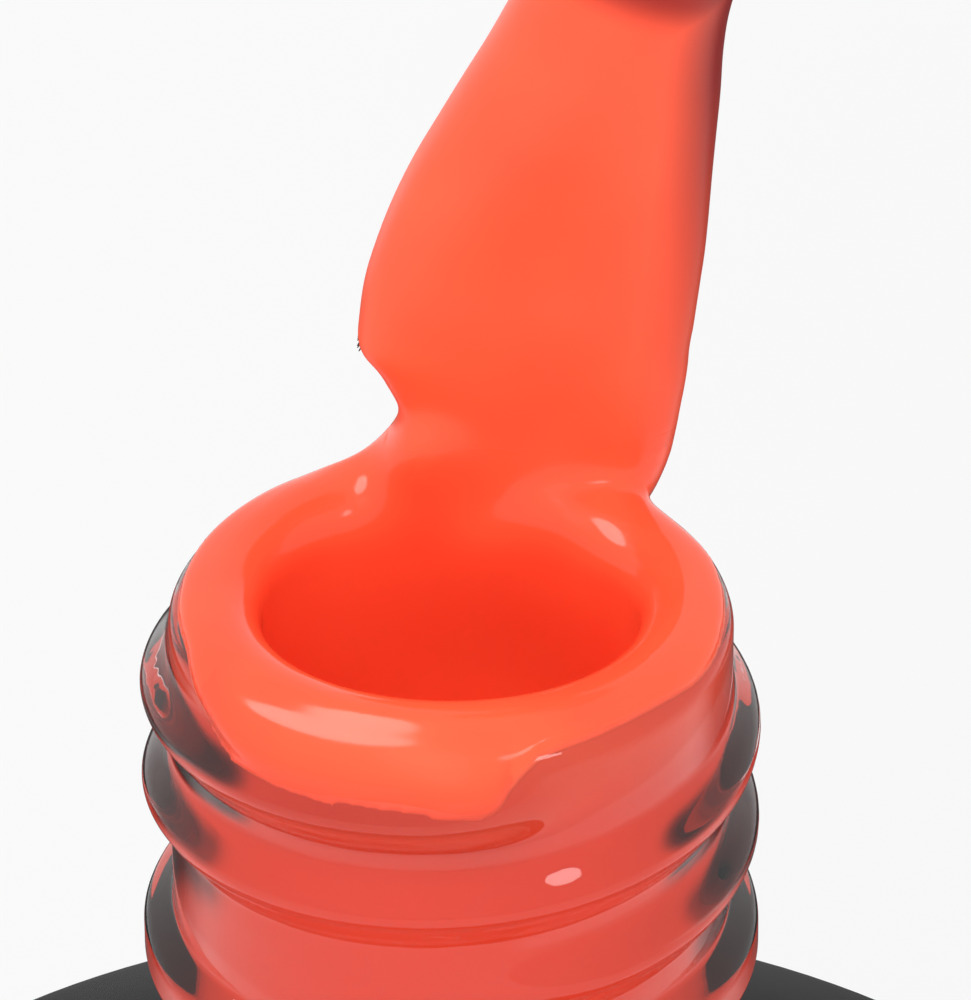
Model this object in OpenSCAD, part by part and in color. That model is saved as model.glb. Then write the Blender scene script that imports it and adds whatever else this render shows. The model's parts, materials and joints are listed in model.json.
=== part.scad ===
// Nail polish bottle with its brush cap lifted out and the loaded brush wiping on the far rim.
// Millimetres and degrees. The origin is the middle of the base on the table, +Z is up,
// +X is to the right and +Y is away from the viewer.

/* [Glass body] */
// Outside diameter of the glass body
body_d = 36; // [32:0.5:40]
// Height from the table to the foot of the neck
body_h = 31.4; // [29:0.2:42]
// Thickness of the glass side and shoulder
wall_t = 2.5; // [1.8:0.1:3]
// Thickness of the glass floor
floor_t = 4; // [3:0.25:6]
// Slope of the shoulder
shoulder_slope = 35; // [28:1:38]
// Radius that rounds the shoulder into the side
shoulder_round = 4; // [2:0.5:6]
// Radius that rounds the side into the base
heel_round = 2.5; // [1.5:0.25:4]
// Width of the ring that the bottle stands on
foot_w = 2.5; // [1.5:0.25:3]
// Depth of the hollow under the base
hollow_h = 0.8; // [0.5:0.1:1.5]

/* [Neck] */
// Height of the neck, from its foot to the lip
neck_h = 12.8; // [11:0.1:14]
// Diameter of the neck between the threads
neck_d = 11.7; // [11.5:0.05:12]
// Diameter of the hole through the neck
bore_d = 8.4; // [8:0.1:9]
// Radius of the lip's two edges
lip_round = 0.6; // [0.3:0.05:0.7]
// Radius of the fillet at the foot of the neck
foot_fillet = 1.2; // [0.6:0.1:1.6]
// Diameter over the crest of the thread
thread_d = 12.9; // [12.6:0.05:13.2]
// Rise of the thread in one turn
pitch = 2.3; // [2.1:0.05:2.5]
// Number of turns of the thread
thread_turns = 2.1; // [1.5:0.05:2.25]
// Height of the thread's ridge where it leaves the neck
ridge_h = 1.7; // [1.4:0.05:1.8]
// Drop from the lip to the upper end of the thread
thread_drop = 1.1; // [0.9:0.05:1.3]
// Diameter of the bead below the thread
bead_d = 12.95; // [12.6:0.05:13.3]
// Height of the bead
bead_h = 1.8; // [1.4:0.1:2.2]
// Drop from the lip to the middle of the bead
bead_drop = 8.2; // [7.8:0.1:8.8]

/* [Finish and polish] */
// Thickness of the lacquer on the outside of the body
lacquer_t = 0.15; // [0.1:0.05:0.3]
// Diameter of the round label in the hollow of the base
label_d = 20; // [14:0.5:21]
// Thickness of the label
label_t = 0.1; // [0.08:0.02:0.2]
// Depth of the polish in the body
polish_depth = 17; // [8:0.5:17.5]
// Thickness of the polish film on the lip and in the neck
film_t = 0.25; // [0.15:0.05:0.3]
// Depth of the polish film below the lip
film_depth = 11; // [4:0.5:11.5]
// Thickness of the polish wiped onto the far rim
pool_t = 0.4; // [0.2:0.05:0.5]

/* [Cap] */
// Height of the outer cap
cap_h = 36; // [30:0.5:44]
// Wall of the outer cap at its mouth
cap_wall = 1; // [0.8:0.1:1.6]
// Diameter of the outer cap at its top
cap_top_d = 16; // [15:0.25:17.5]
// Thickness of the closed top of the outer cap
cap_top_t = 2; // [1.5:0.25:3]
// Radius of the outer cap's top edge
cap_edge = 1.2; // [0.6:0.1:1.6]
// Wall of the threaded inner cap
inner_wall = 1; // [0.8:0.1:1.4]
// Length of the inner cap's skirt, from the seal down
skirt_h = 10.6; // [9.5:0.1:11]
// Thickness of the inner cap's top
inner_top_t = 2.1; // [1.5:0.1:3]
// Thickness of the sealing disc
liner_t = 0.9; // [0.6:0.1:1.4]

/* [Brush] */
// Length of the stem from the sealing disc to its mouth
stem_reach = 25.5; // [22:0.5:26]
// Diameter of the stem at the cap
stem_d = 4.2; // [4:0.05:4.8]
// Diameter of the stem at its mouth
mouth_d = 3.8; // [3.6:0.05:3.95]
// Diameter of the hole that holds the bristles
socket_d = 2.8; // [2.4:0.1:3]
// Depth of the hole that holds the bristles
socket_h = 5; // [4:0.25:7]
// Diameter of the flange on the stem's upper end
flange_d = 9; // [7:0.25:10]
// Thickness of the flange
flange_t = 1.2; // [0.8:0.1:2]
// Length of the bristles outside the stem
brush_len = 12; // [10:0.25:14]
// Width of the fanned bristles
fan_w = 6.2; // [5:0.1:6.8]
// Length over which the bristles fan out
fan_len = 9; // [6:0.5:9.5]
// Thickness of the fanned bristles
fan_t = 1.7; // [1.4:0.1:2]
// Thickness of the polish on the brush
load_t = 0.4; // [0.2:0.05:0.5]

/* [Pose] */
// Lean of the stem to the right
stem_lean = 18; // [13:1:25]
// Lean of the bristles where they meet the rim
tip_lean = 8; // [2:1:11]
// Turn around the rim from straight behind to where the brush rests
rest_turn = 14; // [5:1:25]

/* [Hidden] */
$fn = 96;

arc_step = 7.5;          // angle between the points of a rounded corner
heel_wrap = 60;          // how far the lacquer wraps under the heel
lip_wrap = 60;           // how far the film wraps over the lip's outer edge
hair = 0.02;             // gap between a faceted skin and the round one under it
fit_gap = 0.05;          // radial gap where one cap part is pressed into another
rest_gap = 0.2;          // gap between the brush and the polish that it rests on
thread_gap = 0.2;        // radial gap between the neck and the inner cap
runout = 40;             // turn over which a thread's end fades
thread_end = 302;        // angle of the upper end of the neck's thread
cap_turns = 1.7;         // turns of the inner cap's thread
bead_edge = 0.2;         // fillet where the bead meets the neck
bead_round = 0.4;        // round of the bead's crest
sunk = 0.2;              // how deep a thread ridge is rooted in its wall
toe = 0.1;               // step where a thread ridge leaves its wall
turn_steps = 30;         // rings in one turn of a thread ridge
pool_right = 48;         // turn that the wiped polish spreads to the right of the brush
pool_left = 62;          // and to the left
pool_steps = 14;
pool_arc = 15;           // angle between the points of the pool's section
tip_round = 1.5;         // round of the fanned tip's corners
tip_taper = 0.9;         // length over which the bristles thin to their tips
boxy = 0.7;              // 1 is an oval section of the brush, less is squarer
ribs = 12;               // grip ribs on the inner cap
rib_w = 0.8;
rib_h = 0.25;
staple_w = 2.4;
staple_t = 0.3;
staple_h = 1.6;

body_r = body_d / 2;
neck_r = neck_d / 2;
bore_r = bore_d / 2;
bead_r = bead_d / 2;
inner_r = body_r - wall_t;
hollow_r = body_r - heel_round - foot_w;
lip_z = body_h + neck_h;
bead_z = lip_z - bead_drop;
polish_z = floor_t + polish_depth;

cap_bore_r = bead_r + thread_gap;
inner_cap_r = cap_bore_r + inner_wall;
overcap_bore_r = inner_cap_r + rib_h + fit_gap;
overcap_r = overcap_bore_r + cap_wall;
overcap_top_r = cap_top_d / 2;
liner_r = cap_bore_r - fit_gap;
stem_r = stem_d / 2;
mouth_r = mouth_d / 2;
socket_r = socket_d / 2;

// Heights on the wand, measured along the stem from its mouth
skirt_z = stem_reach - skirt_h;
top_wall_z = stem_reach + liner_t;
flange_z = top_wall_z + inner_top_t;
flange_top_z = flange_z + flange_t;
cap_top_z = skirt_z + cap_h;
upper_bore_r = flange_d / 2 + 1;

// Where the tip of the brush is held: over the crown of the far rim
rest_r = bore_r + lip_round;
tip = [rest_r * sin(rest_turn), rest_r * cos(rest_turn), lip_z + film_t + pool_t + rest_gap + load_t];
head_r = socket_r - fit_gap;
pivot_s = brush_len - rest_gap - head_r;
bend = (stem_lean - tip_lean) / brush_len;
bend_rad = bend * PI / 180;

// ---- outlines ----

function unit(v) = v / norm(v);
function reverse(list) = [for (i = [len(list) - 1:-1:0]) list[i]];
function tail(list) = [for (i = [1:len(list) - 1]) list[i]];
function turned(p, a) = [p.x * cos(a), p.x * sin(a), p.y];

// Points along an arc, one every so many degrees
function arc(centre, r, from, to, step = arc_step) =
    let (n = max(1, ceil(abs(to - from) / step - 0.001)))
    [for (i = [0:n]) let (a = from + (to - from) * i / n) centre + r * [cos(a), sin(a)]];

// The corner [x, y, radius] between two others, as points
function corner(before, at, after) =
    let (p = [at.x, at.y],
         u = unit([before.x, before.y] - p),
         v = unit([after.x, after.y] - p),
         half = acos(u * v) / 2,
         centre = p + unit(u + v) * at.z / sin(half),
         start = p + u * at.z / tan(half) - centre,
         from = atan2(start.y, start.x),
         side = cross(u, v) > 0 ? -1 : 1)
    at.z == 0 ? [p] : arc(centre, at.z, from, from + side * (180 - 2 * half));

// An outline whose corners [x, y, radius] are rounded, except the first and the last
function rounded(corners) =
    let (last = len(corners) - 1)
    [for (i = [0:last])
        each i == 0 || i == last ? [[corners[i].x, corners[i].y]]
                                 : corner(corners[i - 1], corners[i], corners[i + 1])];

function shoulder(r) = body_h - (r - neck_r) * tan(shoulder_slope);
function inner_shoulder(r) = shoulder(r) - wall_t / cos(shoulder_slope);

// Outside of the body from the heel to the foot of the neck, pushed out by some amount
function body_side(out) =
    let (r = body_r + out,
         rise = out / cos(shoulder_slope),
         end_r = neck_r + foot_fillet)
    concat(arc([body_r - heel_round, heel_round], heel_round + out, -heel_wrap, 0),
           tail(rounded([[r, heel_round, 0], [r, shoulder(r) + rise, shoulder_round + out],
                         [end_r, shoulder(end_r) + rise, 0]])));

// Over the lip from inside the neck, pushed out by some amount
function over_lip(out, depth, step = arc_step) =
    let (z = lip_z - lip_round, r = lip_round + out)
    concat([[bore_r - out, lip_z - depth]],
           arc([bore_r + lip_round, z], r, 180, 90, step),
           arc([neck_r - lip_round, z], r, 90, 90 - lip_wrap, step));

// Inside of the body from the middle of the floor to some height, with the neck above
function body_hollow() =
    [[0, floor_t, 0], [inner_r, floor_t, heel_round], [inner_r, inner_shoulder(inner_r), shoulder_round],
     [bore_r, inner_shoulder(bore_r), foot_fillet], [bore_r, lip_z, lip_round]];

// ---- sweeps ----

// The flat end of a ring of n points, as a strip from its first and last point to its middle
function end_face(n) =
    [for (i = [0:ceil(n / 2) - 2])
        each concat([[i, i + 1, n - 1 - i]], i + 1 == n - 2 - i ? [] : [[i + 1, n - 2 - i, n - 1 - i]])];

// A closed solid through rings of points, one after another
module skin(rings) {
    n = len(rings[0]);
    last = (len(rings) - 1) * n;
    polyhedron(
        points = [for (ring = rings) each ring],
        faces = concat(
            end_face(n),
            [for (f = end_face(n)) [last + f.z, last + f.y, last + f.x]],
            [for (k = [0:n:last - 1], i = [0:n - 1]) [k + i, k + n + i, k + n + (i + 1) % n]],
            [for (k = [0:n:last - 1], i = [0:n - 1]) [k + i, k + n + (i + 1) % n, k + (i + 1) % n]]));
}

// Height of the thread's middle below the lip at an angle
function thread_z(angle) = -thread_drop - pitch * (thread_end - angle) / 360;

// A helical ridge from a wall of radius wall_r to a crest of radius crest_r
module ridge(wall_r, crest_r, width, end, turns) {
    start = end - 360 * turns;
    steps = ceil(turns * turn_steps);
    out = crest_r > wall_r ? 1 : -1;
    skin([for (i = [0:steps])
        let (a = start + (end - start) * i / steps,
             fade = min(1, (a - start) / runout, (end - a) / runout),
             h = (crest_r - wall_r - out * toe) * max(fade, 0.05),
             across = [for (k = [-3:3]) [wall_r + out * toe + h * (1 + cos(60 * k)) / 2, width * k / 6]],
             root = wall_r - out * sunk,
             section = concat([[root, -width / 2]], across, [[root, width / 2]]))
        [for (p = out > 0 ? reverse(section) : section) turned([p.x, p.y + thread_z(a)], a)]]);
}

// ---- the bottle ----

module glass_bottle() {
    neck_side = rounded([
        [neck_r + foot_fillet, shoulder(neck_r + foot_fillet), 0], [neck_r, body_h, foot_fillet],
        [neck_r, bead_z - bead_h / 2, bead_edge], [bead_r, bead_z - bead_h / 4, bead_round],
        [bead_r, bead_z + bead_h / 4, bead_round], [neck_r, bead_z + bead_h / 2, bead_edge],
        [neck_r, lip_z, lip_round], [bore_r + lip_round, lip_z, 0]]);
    outside = concat(
        [[0, hollow_h], [hollow_r - hollow_h, hollow_h], [hollow_r, 0]],
        arc([body_r - heel_round, heel_round], heel_round, -90, -heel_wrap),
        tail(body_side(0)), tail(neck_side));
    inside = rounded(concat(body_hollow(), [[bore_r + lip_round, lip_z, 0]]));
    color([0.86, 0.9, 0.9, 0.4]) union() {
        rotate_extrude() polygon(concat(outside, tail(reverse(inside))));
        translate([0, 0, lip_z]) ridge(neck_r, thread_d / 2, ridge_h, thread_end, thread_turns);
    }
}

module lacquer_coat() {
    color([0.03, 0.03, 0.035]) rotate_extrude() polygon(concat(body_side(lacquer_t), reverse(body_side(0))));
}

module base_label() {
    color([0.92, 0.92, 0.9]) translate([0, 0, hollow_h - label_t]) cylinder(d = label_d, h = label_t);
}

module polish_fill() {
    color([0.9, 0.2, 0.12]) intersection() {
        rotate_extrude() polygon(concat(rounded(body_hollow()), [[0, lip_z]]));
        cylinder(r = body_r, h = polish_z);
    }
}

module lip_film() {
    color([1, 0.35, 0.22])
        rotate_extrude() polygon(concat(over_lip(film_t, film_depth), reverse(over_lip(0, film_depth))));
}

module wiped_pool() {
    under = film_t + hair;
    depth = 2 * lip_round;
    from = 90 - rest_turn - pool_right;
    to = 90 - rest_turn + pool_left;
    color([1, 0.37, 0.24]) skin([for (i = [0:pool_steps])
        let (t = pool_t * max(0.3, sqrt(sin(180 * i / pool_steps))) - hair)
        [for (p = concat(over_lip(under + t, depth, pool_arc), reverse(over_lip(under, depth, pool_arc))))
            turned(p, from + (to - from) * i / pool_steps)]]);
}

// ---- the bristles outside the stem, measured along their curve from the tip ----

function lean_at(s) = tip_lean + bend * s;
function curve(s) = tip + [cos(tip_lean) - cos(lean_at(s)), 0, sin(lean_at(s)) - sin(tip_lean)] / bend_rad;

// Half the width and half the thickness of the bristles
function half_w(s) =
    let (short = max(0, 1 - s / tip_round))
    head_r + (fan_w / 2 - head_r) * sin(90 * min(1, (brush_len - s) / fan_len))
        - tip_round * (1 - sqrt(1 - short * short));
function half_t(s) =
    let (short = max(0, 1 - s / tip_taper), above = s - pivot_s)
    above > 0 ? sqrt(head_r * head_r - above * above)
              : (fan_t / 2 + (head_r - fan_t / 2) * s / pivot_s) * sqrt(1 - short * short);

// Where the rings of the bristles lie: round the tip, along the sides, round the head
tip_rings = [for (k = [1:5]) tip_taper * (1 - cos(18 * k))];
side_rings = [for (k = [1:12]) tip_taper + (pivot_s - tip_taper) * k / 12];
head_rings = [for (k = [1:5]) pivot_s + head_r * sin(16 * k)];

function squared(v) = sign(v) * pow(abs(v), boxy);

// One ring around the bristles, pushed out by some amount
function ring(s, out) =
    let (at = s - out * max(0, 1 - s / tip_taper), a = lean_at(at), w = half_w(s) + out, t = half_t(s) + out)
    [for (j = [0:15:345]) let (x = w * squared(cos(j)))
        curve(at) + [x * cos(a), t * squared(sin(j)), -x * sin(a)]];

module bristle_tuft() {
    color([0.12, 0.07, 0.06]) skin([for (s = concat(tip_rings, side_rings, head_rings)) ring(s, 0)]);
}

// The polish is a sleeve that is closed around the tip and open at the stem
module polish_load() {
    around = concat(tip_rings, side_rings);
    color([1, 0.36, 0.24]) skin(concat([for (s = around) ring(s, hair)],
                                       [for (s = reverse(around)) ring(s, load_t)]));
}

// ---- the cap and the rest of the brush, measured along the stem from its mouth ----

module on_wand() {
    translate(curve(brush_len)) rotate([0, stem_lean, 0]) children();
}

module overcap() {
    color([0.04, 0.04, 0.045]) on_wand() rotate_extrude() polygon(rounded([
        [0, cap_top_z - cap_top_t, 0], [upper_bore_r, cap_top_z - cap_top_t, cap_edge],
        [upper_bore_r, flange_z, 0], [overcap_bore_r, flange_z, 0], [overcap_bore_r, skirt_z, 0],
        [overcap_r, skirt_z, cap_edge / 4], [overcap_top_r, cap_top_z, cap_edge], [0, cap_top_z, 0]]));
}

module inner_cap() {
    color([0.93, 0.93, 0.9]) on_wand() {
        difference() {
            union() {
                translate([0, 0, skirt_z]) cylinder(r = inner_cap_r, h = flange_z - skirt_z);
                for (i = [0:ribs - 1])
                    rotate(360 * i / ribs) translate([inner_cap_r - sunk, -rib_w / 2, skirt_z + rib_w])
                        cube([sunk + rib_h, rib_w, flange_z - skirt_z - 2 * rib_w]);
            }
            translate([0, 0, skirt_z - 1]) cylinder(r = cap_bore_r, h = top_wall_z - skirt_z + 1);
            translate([0, 0, skirt_z]) cylinder(r = stem_r + fit_gap, h = cap_h);
        }
        translate([0, 0, stem_reach + pitch / 2])
            ridge(cap_bore_r, neck_r + thread_gap, ridge_h - 2 * thread_gap, thread_end - 180, cap_turns);
    }
}

module seal_liner() {
    color([0.97, 0.97, 0.95]) on_wand() translate([0, 0, stem_reach]) difference() {
        cylinder(r = liner_r, h = liner_t);
        translate([0, 0, -1]) cylinder(r = stem_r + thread_gap, h = liner_t + 2);
    }
}

module brush_stem() {
    color([0.05, 0.05, 0.055]) on_wand() rotate_extrude() polygon(rounded([
        [0, socket_h, 0], [socket_r, socket_h, 0], [socket_r, 0, 0], [mouth_r, 0, sunk],
        [stem_r, flange_z, 0], [flange_d / 2, flange_z, 0], [flange_d / 2, flange_top_z, flange_t / 4],
        [0, flange_top_z, 0]]));
}

// The wire staple that folds the bristles in half at the bottom of their hole
module staple(gap) {
    translate([-staple_w / 2 - gap, -staple_t / 2 - gap, socket_h - staple_h - fit_gap - gap])
        cube([staple_w + 2 * gap, staple_t + 2 * gap, staple_h + 2 * gap]);
}

module bristle_staple() {
    color([0.75, 0.72, 0.6]) on_wand() staple(0);
}

module bristle_root() {
    color([0.12, 0.07, 0.06]) on_wand() difference() {
        cylinder(r = head_r, h = socket_h - fit_gap - staple_h / 4);
        staple(hair);
    }
}

glass_bottle();
lacquer_coat();
base_label();
polish_fill();
lip_film();
wiped_pool();
overcap();
inner_cap();
seal_liner();
brush_stem();
bristle_staple();
bristle_root();
bristle_tuft();
polish_load();
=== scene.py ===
"""Dresses the nail polish bottle and its brush cap over the packed frame.

The frame is in metres with the origin in the middle of the base. The builders work in
millimetres, most of them with heights measured from the lip, and finish_piece() turns
their meshes into the frame's metres.
"""

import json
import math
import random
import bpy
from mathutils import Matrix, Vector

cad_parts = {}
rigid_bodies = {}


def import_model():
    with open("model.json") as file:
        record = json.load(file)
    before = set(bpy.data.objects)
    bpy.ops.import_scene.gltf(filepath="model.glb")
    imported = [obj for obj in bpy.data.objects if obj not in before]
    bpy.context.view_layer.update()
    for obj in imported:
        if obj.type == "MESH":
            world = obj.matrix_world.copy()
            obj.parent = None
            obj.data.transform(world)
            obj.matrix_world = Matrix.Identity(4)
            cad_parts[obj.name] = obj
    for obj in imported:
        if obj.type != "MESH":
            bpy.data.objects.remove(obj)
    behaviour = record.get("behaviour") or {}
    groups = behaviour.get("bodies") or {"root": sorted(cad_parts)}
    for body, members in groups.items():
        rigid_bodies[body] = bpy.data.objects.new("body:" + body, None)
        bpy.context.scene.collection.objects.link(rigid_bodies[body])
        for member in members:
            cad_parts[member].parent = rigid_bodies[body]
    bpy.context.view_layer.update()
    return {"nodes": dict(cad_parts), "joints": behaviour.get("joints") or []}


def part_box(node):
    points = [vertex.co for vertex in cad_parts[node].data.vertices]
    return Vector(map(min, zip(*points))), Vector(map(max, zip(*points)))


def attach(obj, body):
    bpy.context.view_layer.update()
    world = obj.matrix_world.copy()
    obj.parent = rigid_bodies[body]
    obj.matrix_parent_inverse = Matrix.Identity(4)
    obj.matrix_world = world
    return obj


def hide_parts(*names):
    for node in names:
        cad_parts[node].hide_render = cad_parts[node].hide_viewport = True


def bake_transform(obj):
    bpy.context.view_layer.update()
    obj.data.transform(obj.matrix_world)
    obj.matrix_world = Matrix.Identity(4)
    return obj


bl_info = {
    "name": "Nail polish bottle",
    "version": (1, 0, 0),
    "blender": (4, 5, 0),
    "location": "3D View > Sidebar > Bottle",
    "description": "Dresses a nail polish bottle and its brush cap over the packed frame",
    "category": "Object",
}

from types import SimpleNamespace

import bmesh
import bpy
import numpy as np
from bpy.props import FloatProperty, FloatVectorProperty, IntProperty
from mathutils import Matrix, Vector, noise
from mathutils.bvhtree import BVHTree
from mathutils.kdtree import KDTree

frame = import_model()

MM = 0.001
PHOTO_W, PHOTO_H = 971, 1000
PHOTO_L = max(PHOTO_W, PHOTO_H)

JOINTS = {joint["name"]: joint for joint in frame["joints"]}
WAND_AXIS = Vector(JOINTS["wand_lift"]["axis"]).normalized()
PIVOT = Vector(JOINTS["tuft_bend"]["pos_m"]) / MM
LIP_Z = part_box("glass_bottle")[1].z / MM
MOUTH = PIVOT + 1.55 * WAND_AXIS
WAND_LEAN = math.atan2(WAND_AXIS.x, WAND_AXIS.z)
ON_WAND = Matrix.Translation(MOUTH) @ Matrix.Rotation(WAND_LEAN, 4, "Y")
ON_LIP = Matrix.Translation((0, 0, LIP_Z))

# Points in the photograph's frame, in its pixels
POINTS = {
    "left_of_thread": (138, 700),
    "right_of_thread": (762, 820),
    "collar_left": (141, 932),
    "collar_right": (761, 944),
    "opening_near_edge": (445, 697),
    "opening_left_edge": (260, 600),
    "brush_corner": (357, 338),
    "brush_recess": (396, 402),
    "brush_pinch": (657, 495),
    "brush_right_edge": (711, 200),
    "rim_behind_left": (247, 500),
}

# Where the polish that ran over the lip ends on the glass, in the photograph's frame
RUN_EDGE = [(185, 660), (200, 715), (240, 776), (300, 802), (400, 818), (470, 826),
            (499, 817), (520, 785), (545, 758), (604, 733), (660, 706), (709, 674)]

# Where dark streaks are painted on the film on the bore, as painted shade that stands in for
# the glass's dark refractions, in the photograph's frame: x, y and half the width
STREAKS = [
    [(162, 650, 5), (172, 695, 10), (190, 733, 13), (214, 762, 11), (255, 783, 3)],
    [(158, 762, 4), (172, 800, 11), (190, 832, 13), (212, 850, 8), (232, 856, 3)],
    [(738, 712, 4), (735, 750, 7), (722, 790, 12), (692, 822, 11), (657, 849, 3)],
    [(755, 842, 4), (742, 858, 12), (724, 880, 15), (704, 900, 12), (678, 919, 3)]]

# Outline of the brush under its polish: height over the lip, left x and right x
BRUSH_OUTLINE = [
    (-0.75, -1.10, 4.10), (-0.45, -2.60, 4.28), (-0.03, -3.20, 4.47), (0.46, -2.30, 4.62),
    (0.95, -1.48, 4.70), (1.44, -1.10, 4.76), (1.92, -1.10, 4.82), (2.41, -1.33, 4.89),
    (2.90, -1.56, 4.95), (3.38, -1.93, 4.98), (3.86, -1.92, 5.06), (4.83, -1.80, 5.17),
    (5.78, -1.54, 5.28), (6.73, -1.21, 5.35), (7.68, -0.80, 5.41), (8.62, -0.31, 5.48),
    (9.56, 0.19, 5.55), (10.49, 0.70, 5.59), (11.42, 1.16, 5.70), (12.30, 1.62, 5.92),
    (13.10, 1.98, 6.16), (14.00, 2.26, 6.43), (14.60, 2.47, 6.61)]

# Depths in millimetres: of the lip's film in the bore, of its run outside the neck, and
# of the upper end of the neck's coat
FILM_DEPTH, RUN_DROP, COAT_DROP = 5.6, 1.9, 5.2
# How far the hidden sides of the polish and of the lacquer lie in the glass
HIDDEN, LACQUER_HIDDEN = 0.04, 0.03
# Steps round the film, and how far the run stands out of the neck between the threads
FILM_STEPS, RUN_OUT = 220, 0.56
# Share of the film past the lip's top at which it thins out, and how far its end dips
THIN_FROM, END_DIP = 0.62, 0.06
# Angle of the wiped pool's middle and how far it reaches before and behind that
POOL_TURN, POOL_AHEAD, POOL_BEHIND = 68, 94, 66
# Places filled by surface tension at the brush's foot and how far they are drawn out
FILLED = (((-0.6, 3.35, 0.85), (-0.2, -0.5, 0.6)), ((1.95, 3.0, 0.35), (0, -0.2, 0.3)))
FILLED_REACH = 1.7
# Line along which the brush and the lip's polish meet, and how far round it and in how
# many rounds they are drawn together
MEETING = (-1.5, 3.8, 0.6), (4.3, 3.6, 0.4)
MEETING_REACH, MEETING_ROUNDS = 2.5, 75

# Part of the photograph that shows the neck, in steps that find the streaks
NECK_ROWS, NECK_COLUMNS = range(640, 1000, 4), range(140, 764, 3)
GLASS_IOR = 1.5
# Least cosine between a ray and the glass at which the place behind it can be told
LEAST_FACING = 0.25
# How near places count for a vertex, in millimetres, the weight of a red one, and the
# rounds that even the result out on the lip's polish and on the neck's coat
NEAR, RED_WEIGHT = 0.4, 0.6
LIP_ROUNDS, COAT_ROUNDS = 12, 4
# How dark the painted shade on the coat is where the neck meets the body, and the darkest at
# which the painted streaks are still looked for
FOOT_DARK, DARK_ENOUGH = 0.94, 0.9

# Rings along the brush's polish, points round it, and its half depth on the stem
LOAD_ROWS, LOAD_SIDES, STEM_HALF = 62, 48, 2.02
# Power of its section, where 1 is an ellipse and less is squarer
SQUARE = 0.62
# Rings of a rounded end of the polish: share of the last ring, and rise
END_RINGS = (0.97, 0.12), (0.88, 0.2), (0.7, 0.24), (0.4, 0.18), (0.12, 0.08)
# Rings of a bristle, and how often one stands proud at the corner
BRISTLE_ROWS, PROUD_EVERY = 15, 18
# Half depth of the bristles in the stem and in the fan
ROOT_HALF, FAN_HALF = 1.3, 0.72
# Gap between parts of the cap, and its thread's height against the neck's
FIT_GAP, CAP_THREAD = 0.05, 0.72

# Moulded and coated finishes: the material's name, its colour, least and most roughness,
# scales of the handling marks and of the skin, the skin's depth, and other inputs
PLAIN_FINISHES = {
    "black_lacquer": ("Black lacquer", "lacquer", 0.05, 0.12, 180.0, 900.0, 0.000004,
                      {"Specular IOR Level": 0.3}),
    "cap_plastic": ("Gloss cap", "cap", 0.1, 0.2, 220.0, 1200.0, 0.000004,
                    {"Specular IOR Level": 0.35}),
    "inner_plastic": ("Inner cap plastic", "inner", 0.35, 0.5, 300.0, 3000.0, 0.00001, {}),
    "liner_foam": ("Liner foam", "liner", 0.7, 0.9, 400.0, 6000.0, 0.00006, {}),
    "stem_plastic": ("Stem plastic", "stem", 0.22, 0.38, 350.0, 3000.0, 0.000008, {}),
    "staple_wire": ("Staple wire", "wire", 0.2, 0.35, 900.0, 5000.0, 0.000005,
                    {"Metallic": 1.0}),
    "bristle_nylon": ("Bristle nylon", "bristle", 0.3, 0.5, 900.0, 6000.0, 0.000004, {}),
    "label_paper": ("Label paper", "paper", 0.75, 0.95, 500.0, 5000.0, 0.00003, {})}

# Levels of the white that rays see in the surroundings and on the floor
WORLD_WHITE, FLOOR_WHITE, FLOOR_SHOWN = 0.95, 0.93, 0.8
FLOOR_SIZE = 1.5
# Lamps: direction from the lip, distance, size, watts and the line of the width. The
# softboxes show only in the shine, and the front light only in the matt.
LAMPS = (
    ("front_light", (-0.12, -0.62, 0.77), 0.6, (0.3, 0.3), 1.6, (1, 0, 0)),
    ("softbox_left", (-0.5, -0.08, 0.83), 0.5, (0.44, 0.22), 1.8, (-0.66, 0.5, -0.4)),
    ("softbox_right", (0.45, -0.52, 0.68), 0.5, (0.12, 0.09), 0.15, (1, 0, 0)))
# Half sizes of the two cards on the floor and how far behind the bottle they lie
CARD_IN_GLASS = (0.11, 0.11), 0
CARD_IN_LACQUER = (0.15, 0.055), 0.07


# ---- properties ----


def length(name, description, default):
    """A length, given in millimetres."""
    return FloatProperty(name=name, description=description, default=default * MM,
                         unit="LENGTH", precision=5)


def angle(name, description, default):
    """An angle, given in degrees."""
    return FloatProperty(name=name, description=description,
                         default=math.radians(default), subtype="ANGLE")


def colour(name, description, default):
    """A linear colour."""
    return FloatVectorProperty(name=name, description=description, default=default,
                               subtype="COLOR", size=3, min=0, max=1)


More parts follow.
